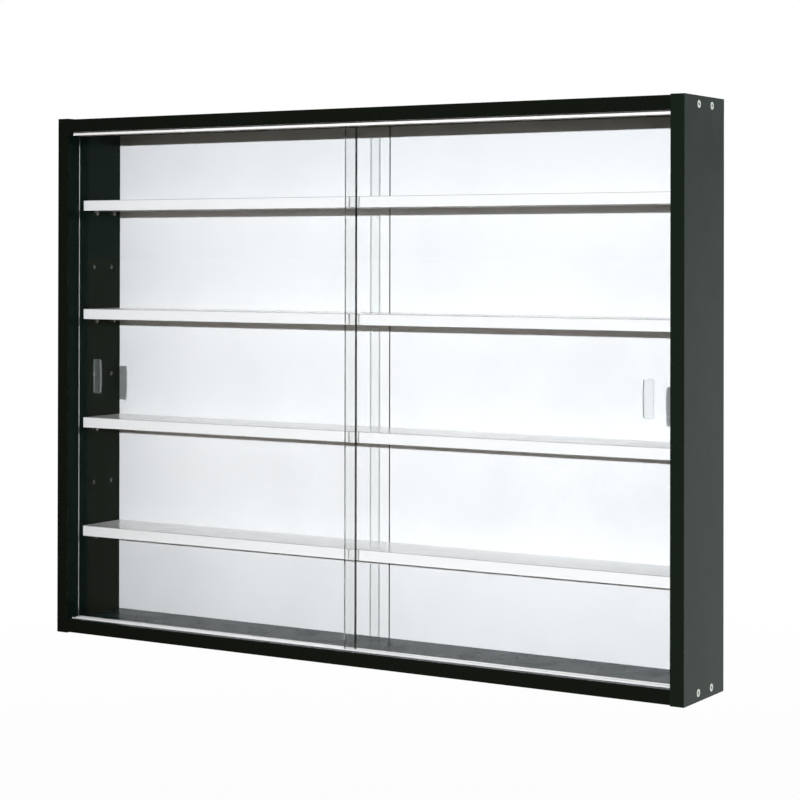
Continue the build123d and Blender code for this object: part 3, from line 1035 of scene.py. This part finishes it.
@dataclass
class Panes:
    """The two sliding panes with their finger grips and the clear tape that holds these.

    grip_outer says how far the outer edges of the left and right grip are from the middle.
    """

    grip_outer: tuple[float, float] = (0.3604, 0.3627)
    grip_width: float = 0.0112
    wall_slope: float = 0.8
    same_point: float = 1e-6

    def pane_face(self, centre: Vector, normal: Vector) -> int:
        """Returns 0 for a pane's two large faces and 1 for its ground edges."""
        return 0 if abs(normal.y) > FLAT else 1

    def build(self) -> None:
        """Dresses the glass and sets the grips and their tape."""
        for side, outer in zip(Side, self.grip_outer):
            dress(f"pane_{side.word}", [GLASS_FACE, GLASS_EDGE], self.pane_face)
            low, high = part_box(f"grip_{side.word}")
            cad_outer = low[0] if side is Side.LEFT else high[0]
            narrow = Matrix.Diagonal((self.grip_width / (high[0] - low[0]), 1.0, 1.0, 1.0))
            to_middle = Matrix.Translation((-cad_outer, 0.0, 0.0))
            place = Matrix.Translation((side.value * outer, 0.0, 0.0)) @ narrow @ to_middle
            grip = [GRIP_PLASTIC, GRIP_WALL_SHADE]
            self.set_moulding(f"grip_{side.word}", side, place, grip)
            self.set_moulding(f"grip_tape_{side.word}", side, place, [TAPE, TAPE])

    def set_moulding(self, node: str, side: Side, place: Matrix, finishes: list[Finish]) -> None:
        """Sets a grip or its tape a little narrower than its node, with smooth walls.

        Args:
            node: the node that it stands for.
            side: which pane it is on.
            place: the matrix that narrows it and moves it.
            finishes: the finish of its faces and that of its walls, which on a grip is painted shade.
        """
        piece = join_meshes(f"{node}_moulded", [(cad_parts[node].data, place)])
        sheet = bmesh.new()
        sheet.from_mesh(piece.data)
        bmesh.ops.remove_doubles(sheet, verts=sheet.verts, dist=self.same_point)
        bmesh.ops.recalc_face_normals(sheet, faces=sheet.faces)
        sheet.to_mesh(piece.data)
        sheet.free()
        corners = [vertex.co for vertex in piece.data.vertices]
        low, high = (Vector([pick(c[axis] for c in corners) for axis in range(3)]) for pick in (min, max))
        piece.data.materials.clear()
        for k, finish in enumerate(finishes):
            piece.data.materials.append(finish.on(f"{node}_{k}", (low, high)))
        for face in piece.data.polygons:
            face.use_smooth = True
            # Painted shade: all walls of the left grip and the inner walls of the right grip take the second
            # finish.
            wall = abs(face.normal.x) > self.wall_slope
            face.material_index = int(wall and (side is Side.LEFT or face.normal.x < 0.0))
        piece.modifiers.new("crisp_corners", "EDGE_SPLIT").split_angle = CRISP
        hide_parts(node)
        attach(piece, f"{side.word}_door")
        log.info("%s: moulded, %.1f mm wide", node, (high.x - low.x) * 1000)


# Studio


@dataclass(frozen=True)
class SoftLamp:
    """A large soft lamp, and whether glossy surfaces mirror it."""

    name: str
    place: Triple
    aim: Triple
    power: float
    size: float
    mirrored: bool = True


@dataclass
class Studio:
    """The camera, the lamps, the light around the case and the pale floor far below it.

    Angles are in radians, and the focal length and the horizon in pixels of the square image. The
    mirrored values are what glossy surfaces see in front of the case, behind it and below, and
    the ranges say where one light goes over into the other: for the world as parts of a ray's
    direction, for the floor in metres.
    """

    camera_place: Triple = (1.26960, -2.03387, 0.14125)
    yaw: float = 0.55424
    pitch: float = 0.00413
    roll: float = 0.0018
    focal_pixels: float = 2146.555
    horizon_pixel: float = 246.697
    image: float = 800.0
    sensor: float = 36.0
    key_place: Triple = (1.18, -5.0, 0.757)
    key_aim: Triple = (0.22, 0.0, 0.11)
    key_power: float = 1340.0
    key_colour: Colour = (0.972, 1.0, 1.07)
    key_size: float = 0.045
    key_angle: float = math.radians(25.0)
    soft_lamps: tuple[SoftLamp, ...] = (
        SoftLamp("rear_soft", (-1.3, 2.6, 1.2), (0.0, 0.0, 0.0), 70.0, 1.6, mirrored=False),
        SoftLamp("rear_low", (0.2, 3.2, -0.6), (0.0, 0.0, 0.0), 22.0, 1.6),
        SoftLamp("overhead", (0.0, 0.5, 2.2), (0.0, 0.3, 0.0), 24.0, 1.4),
    )
    fill: Colour = (0.095, 0.070, 0.044)
    mirrored_tint: Colour = (0.88, 1.0, 0.95)
    mirrored_front: float = 0.045
    mirrored_behind: float = 0.84
    mirrored_below: float = 0.7
    behind_range: tuple[float, float] = (-0.15, 0.75)
    level_range: tuple[float, float] = (-0.6, -0.15)
    floor: float = -1.5
    floor_reach: float = 900.0
    floor_paint: tuple[Colour, Colour] = ((0.50, 0.42, 0.33), (0.54, 0.46, 0.36))
    floor_patch: float = 0.8
    floor_roughness: float = 0.7
    floor_sheen: Colour = (0.71, 0.81, 0.76)
    floor_glow: float = 0.96
    glow_range: tuple[float, float] = (1.0, 9.0)
    sheen_range: tuple[float, float] = (0.2, 3.0)

    def build(self) -> None:
        """Sets up the whole studio."""
        self.set_camera()
        self.set_key()
        self.set_soft_lamps()
        self.set_world()
        self.set_floor()
        bpy.context.scene.view_settings.view_transform = "Standard"
        log.info("studio: camera, lamps, world and floor")

    def set_camera(self) -> None:
        """Places the camera where the photograph's lines meet."""
        data = bpy.data.cameras.new("camera")
        data.sensor_width = self.sensor
        data.lens = self.focal_pixels / self.image * data.sensor_width
        data.shift_y = (self.horizon_pixel - self.image / 2) / self.image
        camera = bpy.data.objects.new("camera", data)
        turn = Matrix.Rotation(self.yaw, 4, "Z") @ Matrix.Rotation(math.pi / 2 + self.pitch, 4, "X")
        turn = turn @ Matrix.Rotation(self.roll, 4, "Z")
        camera.matrix_world = Matrix.Translation(self.camera_place) @ turn
        bpy.context.scene.collection.objects.link(camera)
        bpy.context.scene.camera = camera

    def add_lamp(self, name: str, kind: str, place: Triple, aim: Triple,
                 **settings: Any) -> bpy.types.Object:
        """Adds a lamp.

        Args:
            name: the lamp's name.
            kind: AREA or SPOT.
            place: where it is.
            aim: the point that it shines at.
            settings: the lamp's own properties.

        Returns:
            The lamp, which neither the camera nor the glass shows.
        """
        data = bpy.data.lights.new(name, kind)
        for key, value in settings.items():
            setattr(data, key, value)
        lamp = bpy.data.objects.new(name, data)
        lamp.location = place
        lamp.rotation_mode = "QUATERNION"
        lamp.rotation_quaternion = (Vector(aim) - Vector(place)).to_track_quat("-Z", "Y")
        lamp.visible_camera = False
        lamp.visible_transmission = False
        bpy.context.scene.collection.objects.link(lamp)
        return lamp

    def set_key(self) -> None:
        """Sets the small lamp near the camera that draws the crisp shadows on the back."""
        key = self.add_lamp(
            "key", "SPOT", self.key_place, self.key_aim, energy=self.key_power, color=self.key_colour,
            spot_size=self.key_angle, spot_blend=1.0, shadow_soft_size=self.key_size,
        )
        key.visible_glossy = False

    def set_soft_lamps(self) -> None:
        """Sets the soft lamps that show the top and the rear, which the photograph doesn't see."""
        for soft in self.soft_lamps:
            lamp = self.add_lamp(
                soft.name, "AREA", soft.place, soft.aim, energy=soft.power, size=soft.size,
            )
            lamp.visible_glossy = soft.mirrored

    def set_world(self) -> None:
        """Sets what lies around: white to the eye, and brighter behind the case in reflections."""
        world = bpy.data.worlds.new("studio")
        bpy.context.scene.world = world
        world.use_nodes = True
        world.cycles.sampling_method = "NONE"
        bench = Bench(world.node_tree)
        ray = bench.add("LightPath").outputs
        seen = bench.math("MAXIMUM", ray["Is Camera Ray"], ray["Is Transmission Ray"])
        part = bench.add("SeparateXYZ", {0: bench.add("TexCoord").outputs["Generated"]}).outputs
        behind = bench.ease(part[1], *self.behind_range, self.mirrored_front, self.mirrored_behind)
        level = bench.ease(part[2], *self.level_range, self.mirrored_below, 1.0)
        glossy = bench.math("MULTIPLY", behind, level)
        mirrored = bench.mix(glossy, BLACK, self.mirrored_tint)
        soft = bench.mix(ray["Is Glossy Ray"], self.fill, mirrored)
        light = bench.mix(seen, soft, WHITE)
        bench.add("OutputWorld", {"Surface": bench.add("Background", {0: light, 1: 1.0}).outputs[0]})

    def set_floor(self) -> None:
        """Lays the pale floor, which keeps the case's shadow."""
        sheet = bmesh.new()
        bmesh.ops.create_grid(sheet, x_segments=8, y_segments=8, size=self.floor_reach)
        mesh = bpy.data.meshes.new("floor")
        sheet.to_mesh(mesh)
        sheet.free()
        floor = bpy.data.objects.new("floor", mesh)
        floor.location = (0.0, 0.0, self.floor)
        bpy.context.scene.collection.objects.link(floor)
        material = bpy.data.materials.new("pale_floor")
        material.use_nodes = True
        bench = Bench(material.node_tree)
        paint = bench.mix(bench.noise(self.floor_patch), *self.floor_paint)
        painted = {"Base Color": paint, "Roughness": self.floor_roughness}
        matt = bench.add("BsdfPrincipled", painted).outputs[0]
        ray = bench.add("LightPath").outputs
        seen = bench.math("MAXIMUM", ray["Is Camera Ray"], ray["Is Transmission Ray"])
        glow = bench.add("Emission", {0: WHITE, 1: 1.0}).outputs[0]
        distance = bench.add("VectorMath", {0: bench.place()}, operation="LENGTH").outputs[1]
        glowing = bench.ease(distance, *self.glow_range, self.floor_glow, 1.0)
        share = bench.math("MULTIPLY", seen, glowing)
        shown = bench.add("MixShader", {0: share, 1: matt, 2: glow}).outputs[0]
        part = bench.add("SeparateXYZ", {0: bench.place()}).outputs
        behind = bench.ease(part[1], *self.sheen_range)
        # What is seen through glass also counts as a glossy ray.
        bounced = bench.math("SUBTRACT", ray["Is Glossy Ray"], ray["Is Transmission Ray"])
        mirrored = bench.math("MULTIPLY", bounced, behind)
        sheen = bench.add("Emission", {0: self.floor_sheen, 1: 1.0}).outputs[0]
        both = bench.add("MixShader", {0: mirrored, 1: shown, 2: sheen}).outputs[0]
        bench.add("OutputMaterial", {0: both})
        mesh.materials.append(material)


def main() -> None:
    """Builds and dresses the case and sets the studio."""
    logging.basicConfig(level=logging.INFO, format="%(message)s")
    for assembly in (Carcass(), Back(), Shelves(), Tracks(), Panes(), Studio()):
        log.info("-- %s", type(assembly).__name__)
        assembly.build()


if __name__ == "__main__":
    main()
